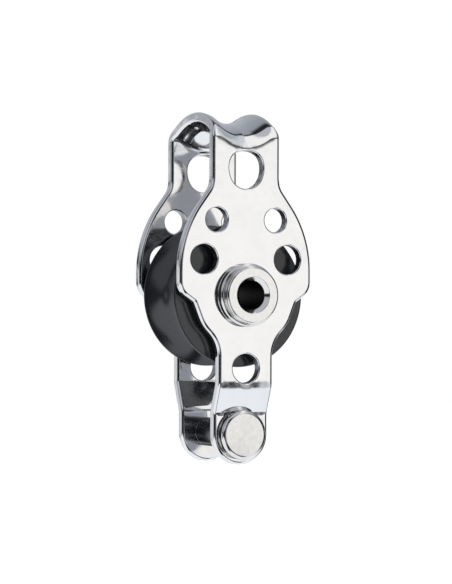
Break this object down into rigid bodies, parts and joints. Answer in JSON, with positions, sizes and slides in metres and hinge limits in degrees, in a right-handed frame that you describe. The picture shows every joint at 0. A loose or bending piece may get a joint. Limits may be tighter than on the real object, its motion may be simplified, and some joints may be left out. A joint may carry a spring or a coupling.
{
  "type": "sailing block",
  "caption": "Small ball-bearing sailing block: folded stainless strap with a saddle head, a grooved sheave on a hollow rivet, and a becket post between joggled ears.",
  "frame": {"origin": "on the sheave axis at the block's mid-plane, midway between the cheeks", "axes": "+Z along the block from the becket to the saddle head; Y is the sheave axis, with the front cheek at -Y; +X across the cheeks"},
  "size_m": [0.0228, 0.0206, 0.0545],
  "materials": {
    "polished_strap": "mirror-polished stainless sheet with tumbled edges",
    "turned_steel": "turned stainless, satin",
    "sheave_plastic": "black acetal, satin",
    "race_plastic": "dark acetal, satin",
    "ball_plastic": "white acetal, smooth"
  },
  "bodies": {
    "block": {"strap": "polished_strap", "hollow_rivet": "turned_steel", "washer_front": "turned_steel", "washer_back": "turned_steel", "race_front": "race_plastic", "race_back": "race_plastic", "becket_post": "turned_steel", "becket_spacer": "turned_steel"},
    "sheave": {"sheave": "sheave_plastic"},
    "balls_front": {"ball_front_01": "ball_plastic", "ball_front_02": "ball_plastic", "ball_front_03": "ball_plastic", "ball_front_04": "ball_plastic", "ball_front_05": "ball_plastic", "ball_front_06": "ball_plastic", "ball_front_07": "ball_plastic", "ball_front_08": "ball_plastic", "ball_front_09": "ball_plastic", "ball_front_10": "ball_plastic", "ball_front_11": "ball_plastic", "ball_front_12": "ball_plastic", "ball_front_13": "ball_plastic"},
    "balls_back": {"ball_back_01": "ball_plastic", "ball_back_02": "ball_plastic", "ball_back_03": "ball_plastic", "ball_back_04": "ball_plastic", "ball_back_05": "ball_plastic", "ball_back_06": "ball_plastic", "ball_back_07": "ball_plastic", "ball_back_08": "ball_plastic", "ball_back_09": "ball_plastic", "ball_back_10": "ball_plastic", "ball_back_11": "ball_plastic", "ball_back_12": "ball_plastic", "ball_back_13": "ball_plastic"}
  },
  "joints": [
    {"name": "sheave_spin", "type": "hinge", "parent": "block", "child": "sheave", "pos_m": [0, 0, 0], "axis": [0, 1, 0], "continuous": true},
    {"name": "front_row_orbit", "type": "hinge", "parent": "block", "child": "balls_front", "pos_m": [0, 0, 0], "axis": [0, 1, 0], "continuous": true},
    {"name": "back_row_orbit", "type": "hinge", "parent": "block", "child": "balls_back", "pos_m": [0, 0, 0], "axis": [0, 1, 0], "continuous": true}
  ],
  "couplings": [
    {"joint": "front_row_orbit", "follows": "sheave_spin", "ratio": 0.61538},
    {"joint": "back_row_orbit", "follows": "sheave_spin", "ratio": 0.61538}
  ]
}
